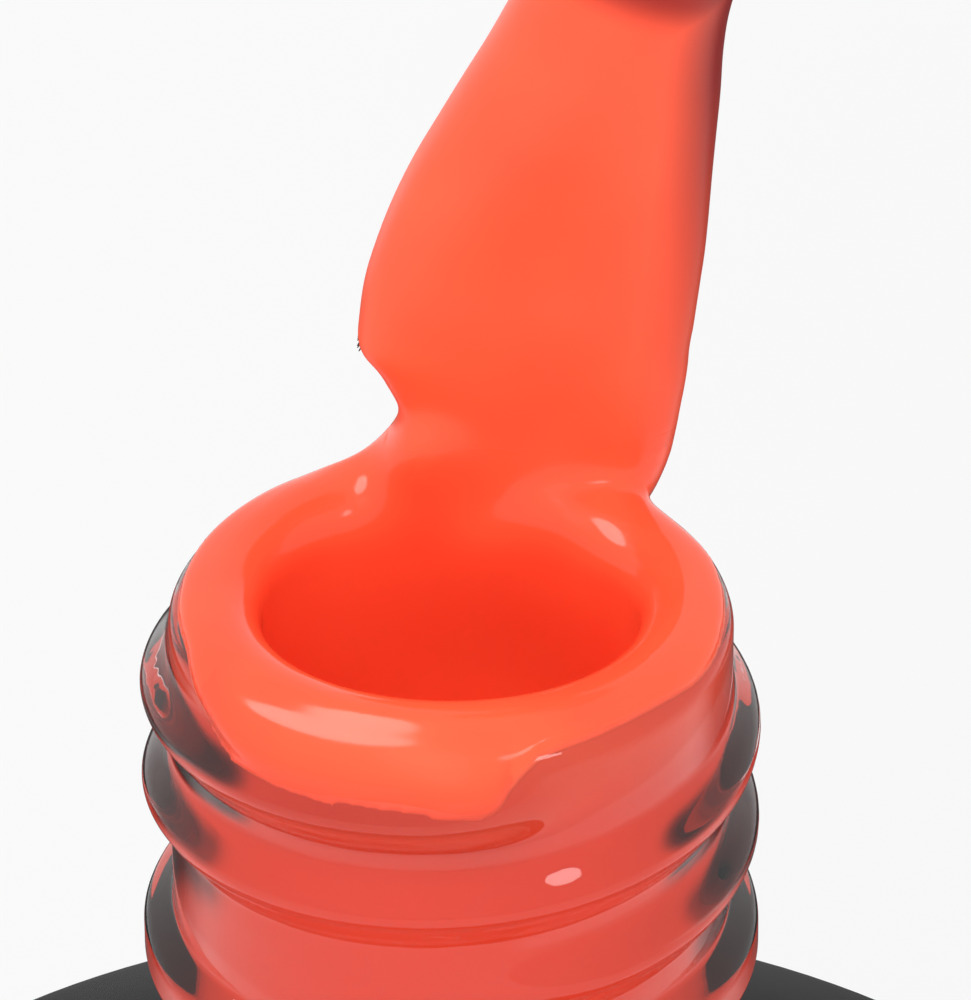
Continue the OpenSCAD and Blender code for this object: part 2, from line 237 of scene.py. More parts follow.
class GlassSizes(bpy.types.PropertyGroup):
    """Sizes of the glass bottle and its lacquer"""

    body_d: length("Body", "Outside diameter of the glass body", 36)
    body_h: length("Body height", "Height to the foot of the neck", 31.4)
    wall_t: length("Wall", "Thickness of the glass side and shoulder", 2.5)
    floor_t: length("Floor", "Thickness of the glass floor", 4)
    shoulder_slope: angle("Shoulder slope", "Slope of the shoulder", 35)
    shoulder_round: length("Shoulder round", "Radius from shoulder to side", 4)
    heel_round: length("Heel round", "Radius from side to base", 2.5)
    foot_w: length("Foot", "Width of the ring that the bottle stands on", 2.5)
    hollow_h: length("Hollow", "Depth of the hollow under the base", 0.8)
    neck_d: length("Neck", "Diameter of the neck between the threads", 11.7)
    bore_d: length("Bore", "Diameter of the hole through the neck", 8.4)
    lip_round: length("Lip round", "Radius of the lip's two edges", 0.6)
    foot_fillet: length("Neck fillet", "Fillet at the foot of the neck", 1.2)
    thread_d: length("Thread", "Diameter over the crest of the thread", 12.9)
    pitch: length("Pitch", "Rise of the thread in one turn", 2.3)
    ridge_h: length("Ridge", "Height of the thread's ridge at its root", 2.1)
    thread_drop: length("Thread drop", "Drop to the thread's upper end", 1.1)
    thread_end: angle("Thread end", "Angle of the thread's upper end", 302)
    thread_turn: angle("Thread turn", "Angle that the thread turns through", 756)
    runout: angle("Run-out", "Angle over which a thread's end fades", 40)
    bead_d: length("Bead", "Diameter of the bead below the thread", 12.95)
    bead_h: length("Bead height", "Height of the bead", 1.8)
    bead_drop: length("Bead drop", "Drop from the lip to the bead's middle", 8.2)
    waviness: length("Waviness", "How far the moulded neck wanders", 0.012)
    lacquer_t: length("Lacquer", "Thickness of the lacquer", 0.15)


class PolishSizes(bpy.types.PropertyGroup):
    """Sizes of the polish on the lip and on the brush"""

    film_t: length("Film", "Thickness of the film in the neck and on the lip", 0.25)
    edge_t: length("Edge", "Thickness of the film at the lip's outer edge", 0.1)
    swell: length("Swell", "How much thicker the film is on the near lip", 0.3)
    sunk: length("Sunk", "How far the film's hidden side lies in the glass", 0.32)
    pool_t: length("Pool", "How much thicker the wiped polish is at the brush", 0.85)
    brush_y: length("Brush depth", "Distance of the brush behind the middle", 4.657)
    front_t: length("Front", "Thickness from the middle to the front face", 1.22)
    back_t: length("Back", "Thickness from the middle to the back face", 1.1)
    voxel: length("Voxel", "Grain of the merged polish", 0.095)
    parting: length("Parting", "Height over the lip where the brush parts", 1.05)


class CapSizes(bpy.types.PropertyGroup):
    """Sizes of the cap, measured along the stem from its mouth"""

    skirt_z: length("Skirt", "Lower edge of the cap", 14.9)
    cap_h: length("Height", "Height of the outer cap", 36)
    top_d: length("Top", "Diameter of the outer cap at its top", 16)
    top_t: length("Top wall", "Thickness of the closed top", 2)
    wall: length("Wall", "Wall of the outer cap at its mouth", 1)
    edge: length("Edge", "Radius of the top edge", 1.2)
    bore_r: length("Bore", "Radius inside the inner cap", 6.675)
    inner_wall: length("Inner wall", "Wall of the inner cap", 1)
    rib_w: length("Rib width", "Width of a grip rib", 0.8)
    rib_h: length("Rib height", "Height of a grip rib", 0.25)
    ribs: IntProperty(name="Ribs", description="Number of grip ribs", default=12)
    reach: length("Reach", "Length of the stem below the liner", 25.5)
    liner_t: length("Liner", "Thickness of the sealing disc", 0.9)
    inner_top_t: length("Inner top", "Thickness of the inner cap's top", 2.1)
    flange_d: length("Flange", "Diameter of the stem's flange", 9)
    flange_t: length("Flange height", "Thickness of the stem's flange", 1.2)


class BrushSizes(bpy.types.PropertyGroup):
    """Sizes of the stem and the bristles"""

    stem_d: length("Stem", "Diameter of the stem at the cap", 4.2)
    mouth_d: length("Mouth", "Diameter of the stem at its mouth", 3.8)
    socket_d: length("Socket", "Diameter of the bristles' hole", 2.8)
    socket_h: length("Socket depth", "Depth of the bristles' hole", 5)
    bristle_d: length("Bristle", "Diameter of one bristle", 0.09)
    bristles: IntProperty(name="Bristles", description="Number of bristles",
                          default=220, min=20)


class Colours(bpy.types.PropertyGroup):
    """Colours of the finishes, linear"""

    polish: colour("Polish", "Wet polish", (1.0, 0.111, 0.043))
    polish_deep: colour("Deep polish", "Polish over the dark bristles",
                        (0.27, 0.008, 0.005))
    # Painted shade: polish darkened where it lies behind the glass and near the run's edge
    polish_under: colour("Polish at the glass", "Polish seen through the glass",
                         (0.74, 0.042, 0.017))
    # Painted shade: dark colour painted in streaks and at the neck's foot, standing in for
    # the glass's dark refractions
    polish_bare: colour("Painted dark", "Painted shade of the dark streaks and of the neck's foot",
                        (0.03, 0.004, 0.004))
    glass: colour("Glass", "Clear glass", (0.96, 0.975, 0.97))
    lacquer: colour("Lacquer", "Coat on the body", (0.010, 0.010, 0.011))
    cap: colour("Cap", "Outer cap", (0.014, 0.014, 0.016))
    inner: colour("Inner cap", "Inner cap", (0.80, 0.80, 0.77))
    liner: colour("Liner", "Sealing disc", (0.86, 0.86, 0.83))
    stem: colour("Stem", "Brush stem", (0.018, 0.018, 0.020))
    wire: colour("Wire", "Staple", (0.72, 0.52, 0.25))
    bristle: colour("Bristle", "Bristles", (0.020, 0.010, 0.009))
    paper: colour("Label", "Label in the hollow of the base", (0.82, 0.82, 0.79))


class Studio(bpy.types.PropertyGroup):
    """Camera and lamps"""

    elevation: angle("Elevation", "Camera's angle above the horizon", 33.384)
    distance: length("Distance", "Camera to the point it looks at", 200)
    aim_x: length("Aim x", "Where the camera looks, to the right", 0.72)
    aim_z: length("Aim z", "Where the camera looks, above the lip", 2.47)
    lens: FloatProperty(name="Lens", description="Focal length", default=351.3)
    sensor: FloatProperty(name="Sensor", description="Sensor width", default=36.0)
    fill: FloatProperty(name="Fill", description="Light from all round", default=1.0)


GROUPS = {"bottle_glass": GlassSizes, "bottle_polish": PolishSizes,
          "bottle_cap": CapSizes, "bottle_brush": BrushSizes,
          "bottle_colours": Colours, "bottle_studio": Studio}


def in_mm(group):
    """The values of a property group, with lengths in millimetres."""
    values = {}
    for prop in group.bl_rna.properties:
        if prop.identifier in ("name", "rna_type"):
            continue
        value = getattr(group, prop.identifier)
        is_length = prop.type == "FLOAT" and prop.unit == "LENGTH"
        values[prop.identifier] = value / MM if is_length else value
    return SimpleNamespace(**values)


def sizes(name):
    """The values of the property group of that name, with lengths in millimetres."""
    return in_mm(getattr(bpy.context.scene, "bottle_" + name))


# ---- outlines ----


def smooth(t):
    """A number's smooth step from 0 to 1."""
    t = min(max(t, 0.0), 1.0)
    return t * t * (3 - 2 * t)


def rise(value, start, end):
    """Smoothly 0 to 1 as a value goes from start to end, which may be the lower one."""
    return smooth((value - start) / (end - start))


def smooth_all(t):
    """The smooth step of every number in an array."""
    t = np.clip(t, 0, 1)
    return t * t * (3 - 2 * t)


def arc(cx, cy, r, start, end, step=6.0):
    """Points along an arc, angles in degrees."""
    n = max(1, math.ceil(abs(end - start) / step - 0.001))
    angles = [math.radians(start + (end - start) * i / n) for i in range(n + 1)]
    return [(cx + r * math.cos(a), cy + r * math.sin(a)) for a in angles]


def rounded(corners, step=6.0):
    """An outline of (x, y, radius) corners, rounded except the first and the last."""
    points = [corners[0][:2]]
    for before, at, after in zip(corners, corners[1:], corners[2:]):
        p = Vector(at[:2])
        if at[2] == 0:
            points.append(tuple(p))
            continue
        u = (Vector(before[:2]) - p).normalized()
        v = (Vector(after[:2]) - p).normalized()
        half = u.angle(v) / 2
        centre = p + (u + v).normalized() * at[2] / math.sin(half)
        start = p + u * at[2] / math.tan(half) - centre
        first = math.degrees(math.atan2(start.y, start.x))
        turn = 180 - 2 * math.degrees(half)
        side = -1 if u.x * v.y - u.y * v.x > 0 else 1
        points += arc(centre.x, centre.y, at[2], first, first + side * turn, step)
    return points + [corners[-1][:2]]


def close_set(points, longest):
    """The same outline with points no further apart than longest."""
    made = [points[0]]
    for a, b in zip(points, points[1:]):
        n = max(1, math.ceil(math.dist(a, b) / longest))
        made += [(a[0] + (b[0] - a[0]) * i / n, a[1] + (b[1] - a[1]) * i / n)
                 for i in range(1, n + 1)]
    return made


def between(rows, at):
    """Values between the rows of a table, whose first column rises, on a smooth curve."""
    keys = [row[0] for row in rows]
    i = min(max(int(np.searchsorted(keys, at)) - 1, 0), len(rows) - 2)
    before, a, b = rows[max(i - 1, 0)], rows[i], rows[i + 1]
    after = rows[min(i + 2, len(rows) - 1)]
    t = min(max((at - a[0]) / (b[0] - a[0]), 0), 1)
    values = []
    for p0, p1, p2, p3 in zip(before[1:], a[1:], b[1:], after[1:]):
        m1, m2 = (p2 - p0) / 2, (p3 - p1) / 2
        values.append((2 * t**3 - 3 * t**2 + 1) * p1 + (t**3 - 2 * t**2 + t) * m1
                      + (3 * t**2 - 2 * t**3) * p2 + (t**3 - t**2) * m2)
    return values


# ---- meshes ----


def spun(outline, steps, closed=True):
    """A bmesh made by spinning an outline of (radius, height) points all round."""
    bm = bmesh.new()
    verts = [bm.verts.new((r, 0, z)) for r, z in outline]
    pairs = list(zip(verts, verts[1:])) + ([(verts[-1], verts[0])] if closed else [])
    edges = [bm.edges.new(pair) for pair in pairs]
    bmesh.ops.spin(bm, geom=verts + edges, cent=(0, 0, 0), axis=(0, 0, 1),
                   dvec=(0, 0, 0), angle=2 * math.pi, steps=steps, use_merge=True)
    return bm


def push_out(bm, how_far):
    """Moves each vertex away from the axis by how_far(place, radius, angle in degrees)."""
    for v in bm.verts:
        r = math.hypot(v.co.x, v.co.y)
        out = how_far(v.co, r, math.degrees(math.atan2(v.co.y, v.co.x)))
        if out:
            v.co.x *= (r + out) / r
            v.co.y *= (r + out) / r


def tidy(bm):
    """Merges the doubles and turns the faces outwards."""
    bmesh.ops.remove_doubles(bm, verts=bm.verts, dist=1e-4)
    bmesh.ops.recalc_face_normals(bm, faces=bm.faces)


def as_object(name, bm):
    """A new object of a bmesh, which is freed."""
    mesh = bpy.data.meshes.new(name)
    bm.to_mesh(mesh)
    bm.free()
    obj = bpy.data.objects.new(name, mesh)
    bpy.context.scene.collection.objects.link(obj)
    return obj


def finish_piece(name, bm, place, material, crease=40.0):
    """A finished object in the frame's metres from a bmesh in millimetres."""
    bmesh.ops.transform(bm, matrix=Matrix.Scale(MM, 4) @ place, verts=bm.verts)
    obj = as_object(name, bm)
    obj.data.polygons.foreach_set("use_smooth", [True] * len(obj.data.polygons))
    if crease is not None:
        obj.data.set_sharp_from_angle(angle=math.radians(crease))
    obj.data.materials.append(material)
    return obj


def seats(obj, body, slot, *nodes):
    """Rides obj on its body, in the place of CAD nodes, which it hides."""
    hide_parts(*nodes)
    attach(obj, body)
    return obj


def spun_piece(name, outline, steps, place, *seat, closed=True, push=None):
    """A finished piece spun from an outline; seat holds its body, slot and CAD nodes."""
    bm = spun(outline, steps, closed)
    if push is not None:
        push_out(bm, push)
    tidy(bm)
    return seats(finish_piece(name, bm, place, finish(seat[1])), *seat)


def repaint(cad_node, material):
    """Gives a CAD node its finish."""
    slots = frame["nodes"][cad_node].data.materials
    slots.clear()
    slots.append(material)


def tree_of(*objects):
    """A BVH tree of objects that are in place, in metres."""
    bm = bmesh.new()
    for obj in objects:
        bm.from_mesh(obj.data)
    tree = BVHTree.FromBMesh(bm)
    bm.free()
    return tree


def values_of(items, field, width=1, kind=float):
    """A field of every vertex, edge, corner or face, as an array with rows of width."""
    values = np.zeros(len(items) * width, kind)
    items.foreach_get(field, values)
    return values if width == 1 else values.reshape(-1, width)


def coordinates(mesh):
    """The vertices' places, one row each."""
    return values_of(mesh.vertices, "co", 3)


def normals_of(mesh):
    """The vertices' normals, one row each."""
    return values_of(mesh.vertices, "normal", 3)


def mark(mesh, name, values):
    """Writes a value at each vertex, which the polish's finish reads by its name."""
    mesh.attributes.new(name, "FLOAT", "POINT").data.foreach_set("value", values)


# ---- the camera and the photograph's points ----


def camera_place(studio):
    """The camera's matrix in the frame."""
    e = studio.elevation
    aim = Vector((studio.aim_x, 0, LIP_Z + studio.aim_z)) * MM
    back = Vector((0, -math.cos(e), math.sin(e))) * studio.distance * MM
    return Matrix.Translation(aim + back) @ Matrix.Rotation(math.pi / 2 - e, 4, "X")


def view_ray(studio, point):
    """Start and direction of the camera's ray through a point of the photograph."""
    place = camera_place(studio)
    x, y = point
    ray = Vector((x - PHOTO_W / 2, PHOTO_H / 2 - y,
                  -PHOTO_L * studio.lens / studio.sensor))
    return place.translation, (place.to_3x3() @ ray).normalized()


def on_surface(tree, point):
    """Where a point of the photograph lies on a surface, or the place nearest its ray."""
    studio = sizes("studio")
    start, ray = view_ray(studio, point)
    hit = tree.ray_cast(start, ray)[0]
    if hit is not None:
        return hit
    reach = studio.distance * MM
    tries = [start + ray * reach * (0.9 + 0.002 * i) for i in range(101)]
    near = [tree.find_nearest(p) for p in tries]
    return min(near, key=lambda found: found[3])[0]


def in_photo(points):
    """Where points of the frame, as an array in metres, show in the photograph."""
    studio = sizes("studio")
    to_camera = np.array(camera_place(studio).inverted())
    p = points @ to_camera[:3, :3].T + to_camera[:3, 3]
    scale = PHOTO_L * studio.lens / studio.sensor / -p[:, 2]
    return np.stack([PHOTO_W / 2 + p[:, 0] * scale, PHOTO_H / 2 - p[:, 1] * scale], 1)


# ---- the glass ----


def shoulder_line(g, r):
    """Height of the shoulder's slope at a radius."""
    return g.body_h - (r - g.neck_d / 2) * math.tan(g.shoulder_slope)


def body_side(g, out):
    """Outside of the body from the heel to the foot of the neck, pushed out."""
    r = g.body_d / 2 + out
    rise = out / math.cos(g.shoulder_slope)
    end = g.neck_d / 2 + g.foot_fillet
    heel = arc(g.body_d / 2 - g.heel_round, g.heel_round, g.heel_round + out, -60, 0)
    side = rounded([(r, g.heel_round, 0),
                    (r, shoulder_line(g, r) + rise, g.shoulder_round + out),
                    (end, shoulder_line(g, end) + rise, 0)])
    return heel + side[1:]


def thread_out(g, degrees, below_lip):
    """How far the thread stands out of the neck at an angle and a height."""
    best = 0.0
    last, turn = math.degrees(g.thread_end), math.degrees(g.thread_turn)
    runout = math.degrees(g.runout)
    crest = (g.thread_d - g.neck_d) / 2
    for lap in (-2, -1, 0, 1):
        a = degrees + 360 * lap
        if not last - turn < a < last:
            continue
        fade = smooth(min(1, (a - last + turn) / runout, (last - a) / runout))
        middle = -g.thread_drop - g.pitch * (last - a) / 360
        across = abs(below_lip - middle) / (g.ridge_h / 2)
        if across < 1:
            best = max(best, crest * fade * (1 + math.cos(math.pi * across)) / 2)
    return best


def wander(g, x, y, z):
    """The slight unevenness of moulded glass."""
    return g.waviness * noise.noise(Vector((x, y, z * 1.6)) * 0.55)


def neck_outline(g):
    """Outside of the neck from its fillet to the top of the lip."""
    neck, bead, lip = g.neck_d / 2, g.bead_d / 2, LIP_Z
    middle = lip - g.bead_drop
    side = rounded([
        (neck + g.foot_fillet, shoulder_line(g, neck + g.foot_fillet), 0),
        (neck, g.body_h, g.foot_fillet), (neck, middle - g.bead_h / 2, 0.2),
        (bead, middle - g.bead_h / 4, 0.4), (bead, middle + g.bead_h / 4, 0.4),
        (neck, middle + g.bead_h / 2, 0.2), (neck, lip, g.lip_round),
        (g.bore_d / 2 + g.lip_round, lip, 0)])
    return close_set(side, 0.085)


def make_glass():
    """The bottle: one outline for its outside and inside, with the thread pushed out."""
    g = sizes("glass")
    hollow = g.body_d / 2 - g.heel_round - g.foot_w
    outside = [(0, g.hollow_h), (hollow - g.hollow_h, g.hollow_h), (hollow, 0)]
    outside += arc(g.body_d / 2 - g.heel_round, g.heel_round, g.heel_round, -90, -60)
    outside += body_side(g, 0)[1:] + neck_outline(g)[1:]
    bore, inner = g.bore_d / 2, g.body_d / 2 - g.wall_t
    fall = g.wall_t / math.cos(g.shoulder_slope)
    inside = rounded([
        (0, g.floor_t, 0), (inner, g.floor_t, g.heel_round),
        (inner, shoulder_line(g, inner) - fall, g.shoulder_round),
        (bore, shoulder_line(g, bore) - fall, g.foot_fillet), (bore, LIP_Z, g.lip_round),
        (bore + g.lip_round, LIP_Z, 0)])
    lowest = LIP_Z - g.bead_drop - g.bead_h / 2 - 0.3

    def moulded(at, r, turn):
        if at.z < lowest or r < bore + g.lip_round:
            return 0
        return thread_out(g, turn, at.z - LIP_Z) + wander(g, *at)

    spun_piece("glass_body", outside + inside[::-1][1:], 240, Matrix(),
               "bottle", "clear_glass", "glass_bottle", closed=False, push=moulded)


def make_lacquer():
    """The coat, whose hidden side lies just inside the glass, as on real coated glass."""
    g = sizes("glass")
    outline = body_side(g, g.lacquer_t) + body_side(g, -LACQUER_HIDDEN)[::-1]
    spun_piece("lacquer_shell", close_set(outline, 1.5), 160, Matrix(),
               "bottle", "black_lacquer", "lacquer_coat")


# ---- the polish ----


def film_path(g, depth, drop):
    """Glass surface that the film covers: up the bore, over the lip, down outside.

    Each row is radius, height from the lip and the outward normal."""
    bore, neck, r = g.bore_d / 2, g.neck_d / 2, g.lip_round
    rows = [(bore, -depth + (depth - r) * i / 40, -1.0, 0.0) for i in range(40)]
    for a in np.linspace(180, 90, 9):
        c, s = math.cos(math.radians(a)), math.sin(math.radians(a))
        rows.append((bore + r + r * c, -r + r * s, c, s))
    rows.append((neck / 2 + bore / 2, 0.0, 0.0, 1.0))
    for a in np.linspace(90, 0, 13):
        c, s = math.cos(math.radians(a)), math.sin(math.radians(a))
        rows.append((neck - r + r * c, -r + r * s, c, s))
    rows += [(neck, -r - (drop - r) * i / 16, 1.0, 0.0) for i in range(1, 17)]
    return rows


def run_edge_table(glass):
    """The lower edge of the run polish as (angle from the front, height) rows."""
    tree = tree_of(glass)
    rows = []
    for point in RUN_EDGE:
        p = on_surface(tree, point) / MM
        rows.append((math.degrees(math.atan2(p.x, -p.y)), min(p.z - LIP_Z, -0.12)))
    rows.sort()
    before, after = [(-180, -0.3), (-120, -0.24), (-86, -0.2)], [(84, -0.24), (120, -0.3)]
    return before + rows + after + [(180, -0.3)]


def from_front(degrees):
    """An angle about the axis as an angle from the front, between -180 and 180."""
    return (degrees + 270) % 360 - 180


def pool_at(p, degrees, z):
    """How much thicker the polish wiped off on the far rim makes the film."""
    off = (degrees - POOL_TURN + 180) % 360 - 180
    around = smooth(1 - abs(off) / (POOL_AHEAD if off > 0 else POOL_BEHIND))
    return p.pool_t * around * rise(z, -5.4, -0.2) * (1 - 0.45 * rise(z, -0.6, 0))


def hollow_line(g, off, low):
    """Inside of the body and the neck from some height up, a little off the glass."""
    side, bore = g.body_d / 2 - g.wall_t - off, g.bore_d / 2 - off
    fall = (g.wall_t + off) / math.cos(g.shoulder_slope)
    return rounded([(side, low, 0), (side, shoulder_line(g, side) - fall, g.shoulder_round),
                    (bore, shoulder_line(g, bore) - fall, g.foot_fillet + off),
                    (bore, LIP_Z - COAT_DROP, 0)])


def make_film_shell(g, p, edge):
    """The film in the neck and over the lip, with the polish that ran over the lip."""
    path = film_path(g, FILM_DEPTH, RUN_DROP)
    crown = g.bore_d / 2 + g.lip_round
    n = len(path)
    first_out = next(i for i, row in enumerate(path) if row[2] > 0)
    heights = [row[1] for row in path]
    # Heights stand for the rows and radii for the two sides until the mesh is spun
    rows = [(20, i) for i in range(n)] + [(19, i) for i in reversed(range(n))]
    bm = spun(rows, FILM_STEPS)
    for v in bm.verts:
        row, outer = round(v.co.z), math.hypot(v.co.x, v.co.y) > 19.5
        turn = math.atan2(v.co.y, v.co.x)
        swell = p.swell * (0.5 - 0.5 * math.sin(turn)) ** 3
        if row < first_out:
            r, z, nr, nz = path[row]
            hidden = -HIDDEN - (p.sunk - HIDDEN) * rise(z, -1.2, -0.2)
            t = p.film_t + swell * rise(z, -2, 0) if outer else hidden
            t += pool_at(p, math.degrees(turn), z) if outer else 0
        else:
            # Rows outside the lip are drawn together so that the last lies on the edge
            low = between(edge, from_front(math.degrees(turn)))[0]
            stop = next((i for i in range(first_out, n) if heights[i] < low), n - 1)
            stop -= (low - heights[stop]) / max(heights[stop - 1] - heights[stop], 1e-9)
            share = (row - first_out) / (n - 1 - first_out)
            at = first_out + share * (stop - first_out)
            i = min(int(at), n - 2)
            r, z, nr, nz = (a + (b - a) * (at - i) for a, b in zip(path[i], path[i + 1]))
            ridge = thread_out(g, math.degrees(turn), z)
            run = rise(low, -0.75, -1.25)
            filled = max(ridge + 0.03 * run, run * RUN_OUT * rise(z, -0.1, -1.25))
            end = rise(share, THIN_FROM, 1)
            if outer:
                thin = rise(r, crown, g.neck_d / 2)
                thick = p.film_t + (swell + pool_at(p, math.degrees(turn), 0)) * (1 - thin)
                r += (1 - end) * filled + end * ridge
                t = (1 - end) * (thick + (p.edge_t - thick) * thin) - end * END_DIP
            else:
                r += ridge
                t = -p.sunk
        r, z = r + nr * t, z + nz * t
        v.co = Vector((r * math.cos(turn), r * math.sin(turn), z))
    tidy(bm)
    return bm


def swept(rows, sides, place):
    """A closed sweep: place(row, x, y) says where each point of the unit circle goes."""
    outline = [(0, 0), *((1, i) for i in range(rows)), (0, rows - 1)]
    bm = spun(outline, sides, closed=False)
    bmesh.ops.remove_doubles(bm, verts=bm.verts, dist=1e-4)
    for v in bm.verts:
        v.co = place(round(v.co.z), v.co.x, v.co.y)
    bmesh.ops.recalc_face_normals(bm, faces=bm.faces)
    return bm


def brush_edges(z):
    """Left and right edge of the loaded brush at a height over the lip."""
    return between(BRUSH_OUTLINE, z)


def make_load(p):
    """The polish on the brush, from the rim to where it thins out on the stem."""
    low, high = BRUSH_OUTLINE[0][0], BRUSH_OUTLINE[-1][0]

    def place(row, x, y):
        z = low + (high - low) * row / (LOAD_ROWS - 1)
        left, right = brush_edges(z)
        up = rise(z, 5, 12)
        foot = rise(z, 1.2, -0.6)
        flat = p.front_t if y < 0 else p.back_t * (1 - 0.6 * foot)
        depth = flat * (1 - up) + STEM_HALF * up
        if row in (0, LOAD_ROWS - 1):
            depth *= 0.8
        power = SQUARE + (1 - SQUARE) * max(up, foot)
        squared = [math.copysign(abs(k) ** power, k) for k in (x, y)]
        across = (left + right) / 2 + squared[0] * (right - left) / 2
        depth *= 1 - 0.6 * rise(z, 1.6, 0.4) * rise(across, -0.7, -2.3)
        return Vector((across, p.brush_y + squared[1] * depth, z))

    return swept(LOAD_ROWS, LOAD_SIDES, place)


def joined(*parts):
    """One bmesh of several, which are freed."""
    bm = bmesh.new()
    for part in parts:
        mesh = bpy.data.meshes.new("part")
        part.to_mesh(mesh)
        part.free()
        bm.from_mesh(mesh)
        bpy.data.meshes.remove(mesh)
    return bm


def merged(bm, voxel):
    """One skin around everything in a bmesh, of about square faces."""
    obj = as_object("merging", bm)
    remesh = obj.modifiers.new("Merge", "REMESH")
    remesh.mode = "VOXEL"
    remesh.voxel_size = voxel
    depsgraph = bpy.context.evaluated_depsgraph_get()
    mesh = bpy.data.meshes.new_from_object(obj.evaluated_get(depsgraph))
    bpy.data.objects.remove(obj)
    return mesh


def evened(mesh, values, weights, rounds):
    """Values at the vertices, each drawn towards those of its neighbours."""
    n = len(mesh.vertices)
    a, b = values_of(mesh.edges, "vertices", 2, np.int64).T
    links = np.bincount(a, minlength=n) + np.bincount(b, minlength=n)
    for _ in range(rounds):
        total = np.bincount(a, values[b], n) + np.bincount(b, values[a], n)
        values = values + weights * (total / np.maximum(links, 1) - values)
    return values


def flow(mesh, weights, rounds):
    """Evens a mesh out as surface tension does, by the weight of each vertex."""
    co = coordinates(mesh)
    for k in range(3):
        co[:, k] = evened(mesh, co[:, k], weights, rounds)
    mesh.vertices.foreach_set("co", co.ravel())
    mesh.update()


def near_line(co, a, b, reach):
    """1 on a line, falling smoothly to 0 at some distance from it."""
    a, b = np.array(a, float), np.array(b, float)
    along = np.clip(((co - a) @ (b - a)) / ((b - a) @ (b - a)), 0, 1)
    far = np.linalg.norm(co - a - along[:, None] * (b - a), axis=1)
    return smooth_all(1 - far / reach)


def parted(mesh, height, above):
    """The part of the polish above or below the parting, with a rounded end on it."""
    bm = bmesh.new()
    bm.from_mesh(mesh)
    side = bm.faces.layers.int.new("end")
    geom = bm.verts[:] + bm.edges[:] + bm.faces[:]
    cut = bmesh.ops.bisect_plane(bm, geom=geom, dist=1e-5, plane_co=(0, 0, height),
                                 plane_no=(0, 0, 1), clear_inner=above,
                                 clear_outer=not above)
    rim = [e for e in cut["geom_cut"] if isinstance(e, bmesh.types.BMEdge)]
    known = set(bm.faces)
    corners = {v for e in rim for v in e.verts}
    middle = sum((v.co for v in corners), Vector()) / len(corners)
    for share, rise in END_RINGS:
        grown = bmesh.ops.extrude_edge_only(bm, edges=rim)["geom"]
        verts = [e for e in grown if isinstance(e, bmesh.types.BMVert)]
        rim = [e for e in grown if isinstance(e, bmesh.types.BMEdge)]
        lift = Vector((0, 0, -rise if above else rise))
        for v in verts:
            v.co = middle + (v.co - middle) * share + lift
        middle += lift
    bmesh.ops.holes_fill(bm, edges=rim, sides=0)
    ends = [f for f in bm.faces if f not in known]
    for face in ends:
        face[side] = 1
    bmesh.ops.triangulate(bm, faces=[f for f in ends if len(f.verts) > 4])
    bmesh.ops.recalc_face_normals(bm, faces=bm.faces)
    return bm


def seen_on_bore(glass, g, point):
    """Where a point of the photograph shows the film on the bore through the glass."""
    studio = sizes("studio")
    start, ray = view_ray(studio, point)
    hit, normal = glass.ray_cast(start, ray)[:2]
    facing = 0 if hit is None else -ray.dot(normal)
    if facing < LEAST_FACING:
        return None
    bend = facing / GLASS_IOR - math.sqrt(1 - (1 - facing**2) / GLASS_IOR**2)
    bent = ray / GLASS_IOR + normal * bend
    p, r = hit / MM, g.bore_d / 2 + 0.05
    a, b = bent.xy.length_squared, p.xy.dot(bent.xy)
    inside = b * b - a * (p.xy.length_squared - r * r)
    return None if inside < 0 else p + bent * (-b - math.sqrt(inside)) / a


def in_streak(x, y):
    """Whether a point of the photograph lies in one of the dark streaks."""
    for streak in STREAKS:
        for (x0, y0, w0), (x1, y1, w1) in zip(streak, streak[1:]):
            along = Vector((x1 - x0, y1 - y0))
            t = (x - x0) * along.x + (y - y0) * along.y
            t = min(max(t / along.length_squared, 0), 1)
            far = math.hypot(x - x0 - along.x * t, y - y0 - along.y * t)
            if far <= w0 + (w1 - w0) * t:
                return True
    return False


def painted_dark_places(glass, g):
    """Trees of the places on the bore that the photograph shows red and dark, which place
    the painted dark streaks.
    """
    tree = tree_of(glass)
    found = [], []
    for y in NECK_ROWS:
        for x in NECK_COLUMNS:
            place = seen_on_bore(tree, g, (x, y))
            if place is not None:
                found[in_streak(x, y)].append(place)
    trees = []
    for points in found:
        places = KDTree(len(points))
        for i, point in enumerate(points):
            places.insert(point, i)
        places.balance()
        trees.append(places)
    return trees


